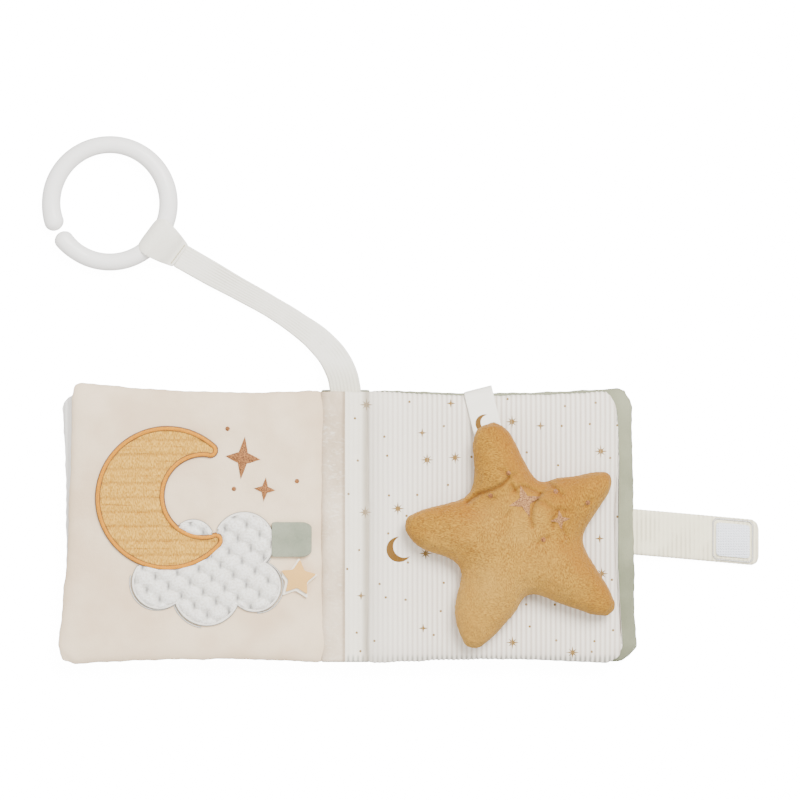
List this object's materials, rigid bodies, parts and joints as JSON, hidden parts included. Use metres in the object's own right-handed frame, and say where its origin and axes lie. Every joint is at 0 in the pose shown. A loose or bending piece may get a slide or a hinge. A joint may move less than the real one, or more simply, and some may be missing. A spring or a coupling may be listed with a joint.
{
  "type": "baby stroller book",
  "caption": "Padded cloth book lying open, with appliques, a plush star on a ribbon, flaps, a closing strap and a carrier strap that ends in an open plastic ring.",
  "frame": {"origin": "middle of the spine's underside, on which the open book lies", "axes": "+X across the spread from the moon page to the star page, +Y up the pages, +Z out of them"},
  "size_m": [0.3049, 0.2256, 0.038],
  "materials": {
    "velour": "soft short-pile velour, beige",
    "corduroy": "fine-wale corduroy, off-white",
    "sage_velour": "short-pile velour, sage green",
    "wadding": "polyester wadding",
    "mustard_cord": "wide-wale plush cord, mustard",
    "mustard_thread": "satin stitch, mustard",
    "dimpled_plush": "dimpled plush, white",
    "white_thread": "satin stitch, white",
    "copper_thread": "embroidery thread, copper",
    "white_felt": "felt, white",
    "peach_felt": "felt, peach",
    "mustard_plush": "velboa plush, mustard",
    "satin_ribbon": "satin ribbon, white",
    "hook_and_loop": "hook and loop tape, white",
    "ring_plastic": "moulded plastic, white, smooth"
  },
  "bodies": {
    "moon_page": {"moon_page_front": "velour", "moon_page_padding": "wadding", "moon_page_back": "velour", "velour_margin": "velour", "spine_wrap": "sage_velour", "spine_web": "wadding", "moon_applique": "mustard_cord", "moon_border": "mustard_thread", "cloud_applique": "dimpled_plush", "cloud_border": "white_thread", "sparkle_large": "copper_thread", "sparkle_small": "copper_thread", "dot_upper": "copper_thread", "dot_middle": "copper_thread", "dot_right": "copper_thread", "carrier_strap_anchor": "corduroy"},
    "front_cover": {"front_cover_inner": "velour", "front_cover_padding": "wadding", "front_cover_outer": "corduroy", "loop_patch": "hook_and_loop"},
    "star_page": {"star_page_front": "corduroy", "star_page_padding": "wadding", "star_page_back": "sage_velour", "corduroy_margin": "corduroy"},
    "back_cover": {"back_cover_inner": "sage_velour", "back_cover_padding": "wadding", "back_cover_outer": "sage_velour"},
    "ribbon": {"ribbon": "satin_ribbon"},
    "plush_star": {"plush_star_front": "mustard_plush", "plush_star_stuffing": "wadding", "plush_star_back": "mustard_plush", "star_sparkle_large": "copper_thread", "star_sparkle_small": "copper_thread", "star_dot_1": "copper_thread", "star_dot_2": "copper_thread", "star_dot_3": "copper_thread", "star_dot_4": "copper_thread", "star_dot_5": "copper_thread"},
    "closing_strap_root": {"closing_strap_root": "corduroy"},
    "closing_strap_tip": {"closing_strap_tip": "corduroy", "hook_patch": "hook_and_loop", "hook_patch_stitching": "white_thread"},
    "sage_tab": {"sage_tab": "sage_velour"},
    "felt_star": {"felt_star_backing": "white_felt", "felt_star_face": "peach_felt"},
    "carrier_strap_lower": {"carrier_strap_lower": "corduroy"},
    "carrier_strap_upper": {"carrier_strap_upper": "corduroy"},
    "ring_loop": {"ring_loop": "corduroy", "ring_loop_stitching": "white_thread"},
    "link_ring": {"link_ring": "ring_plastic"}
  },
  "joints": [
    {"name": "front_cover_fold", "type": "hinge", "parent": "moon_page", "child": "front_cover", "pos_m": [-0.01075, 0, -0.00015], "axis": [0, 1, 0], "range_deg": [-170, 0]},
    {"name": "book_fold", "type": "hinge", "parent": "moon_page", "child": "star_page", "pos_m": [0, 0, 0.014], "axis": [0, 1, 0], "range_deg": [-135, 0]},
    {"name": "back_cover_fold", "type": "hinge", "parent": "star_page", "child": "back_cover", "pos_m": [0.01075, 0, -0.00015], "axis": [0, 1, 0], "range_deg": [0, 170]},
    {"name": "ribbon_swing", "type": "hinge", "parent": "star_page", "child": "ribbon", "pos_m": [0.0565, 0.0589, 0.0132], "axis": [-1, 0, 0], "range_deg": [0, 110]},
    {"name": "plush_star_swing", "type": "hinge", "parent": "ribbon", "child": "plush_star", "pos_m": [0.06055, 0.04176, 0.02305], "axis": [-1, 0, 0], "range_deg": [0, 70]},
    {"name": "closing_strap_fold", "type": "hinge", "parent": "back_cover", "child": "closing_strap_root", "pos_m": [0.12007, -0.0021, 0.0056], "axis": [0, -1, 0], "range_deg": [0, 90]},
    {"name": "closing_strap_crease", "type": "hinge", "parent": "closing_strap_root", "child": "closing_strap_tip", "pos_m": [0.14507, -0.0043, 0.00265], "axis": [0, -1, 0], "range_deg": [0, 90]},
    {"name": "sage_tab_lift", "type": "hinge", "parent": "moon_page", "child": "sage_tab", "pos_m": [-0.02975, -0.0052, 0.01955], "axis": [0, -1, 0], "range_deg": [0, 80]},
    {"name": "felt_star_lift", "type": "hinge", "parent": "moon_page", "child": "felt_star", "pos_m": [-0.02685, -0.0217, 0.01965], "axis": [0, -1, 0], "range_deg": [0, 80]},
    {"name": "carrier_strap_lift", "type": "hinge", "parent": "moon_page", "child": "carrier_strap_lower", "pos_m": [0, 0.05855, 0.0121], "axis": [1, 0, 0], "range_deg": [0, 90]},
    {"name": "carrier_strap_crease", "type": "hinge", "parent": "carrier_strap_lower", "child": "carrier_strap_upper", "pos_m": [-0.0317, 0.09382, 0.00265], "axis": [0.5152, 0.8571, 0], "range_deg": [0, 45]},
    {"name": "ring_loop_crease", "type": "hinge", "parent": "carrier_strap_upper", "child": "ring_loop", "pos_m": [-0.07099, 0.11596, 0.00305], "axis": [0.5976, 0.8018, 0], "range_deg": [0, 60]},
    {"name": "ring_spin", "type": "hinge", "parent": "ring_loop", "child": "link_ring", "pos_m": [-0.1007, 0.1381, 0.0049], "axis": [0, 0, 1], "range_deg": [-220, 90]}
  ]
}
